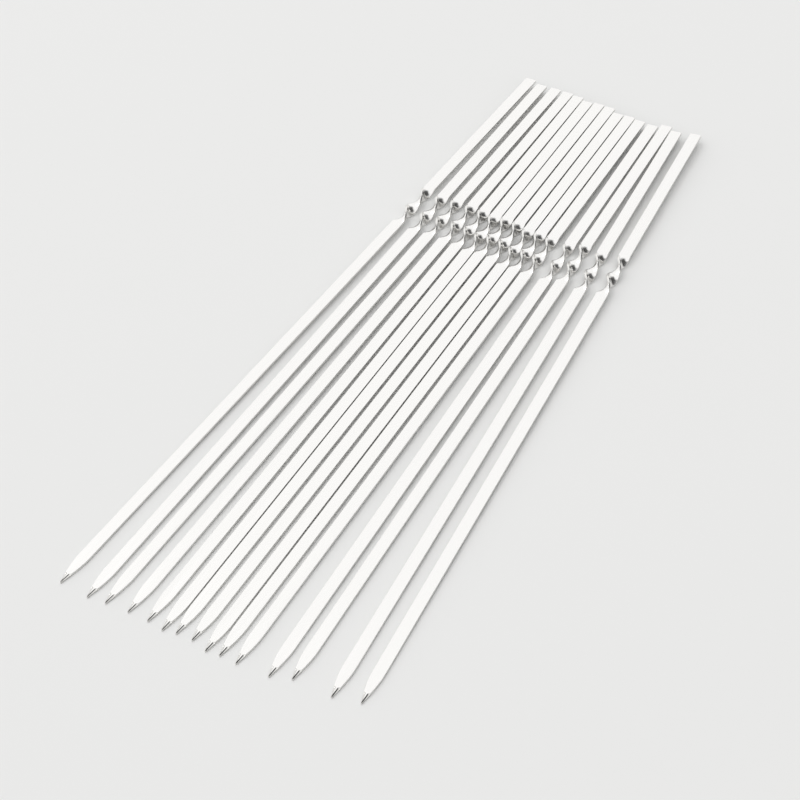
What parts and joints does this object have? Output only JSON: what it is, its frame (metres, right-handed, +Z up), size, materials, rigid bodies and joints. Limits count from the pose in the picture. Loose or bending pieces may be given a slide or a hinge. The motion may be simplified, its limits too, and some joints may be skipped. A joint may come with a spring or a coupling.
{
  "type": "kebab skewer set",
  "caption": "Loose row of flat stainless steel kebab skewers: long blades with a ground point, one left-handed twist as food stop and grip, and plain square-ended handles.",
  "frame": {"origin": "middle of the footprint of the whole row, on the surface it lies on", "axes": "+Y along the middle skewer from its point to its handle end, +X across the row, +Z up"},
  "size_m": [0.1318, 0.3896, 0.0051],
  "materials": {
    "stainless_steel": "bright cold-rolled and polished faces, sheared edges, ground point"
  },
  "bodies": {
    "root": {"skewer_01": "stainless_steel", "skewer_02": "stainless_steel", "skewer_03": "stainless_steel", "skewer_04": "stainless_steel", "skewer_05": "stainless_steel", "skewer_06": "stainless_steel", "skewer_07": "stainless_steel", "skewer_08": "stainless_steel", "skewer_09": "stainless_steel", "skewer_10": "stainless_steel", "skewer_11": "stainless_steel", "skewer_12": "stainless_steel", "skewer_13": "stainless_steel", "skewer_14": "stainless_steel", "skewer_15": "stainless_steel"}
  },
  "joints": []
}
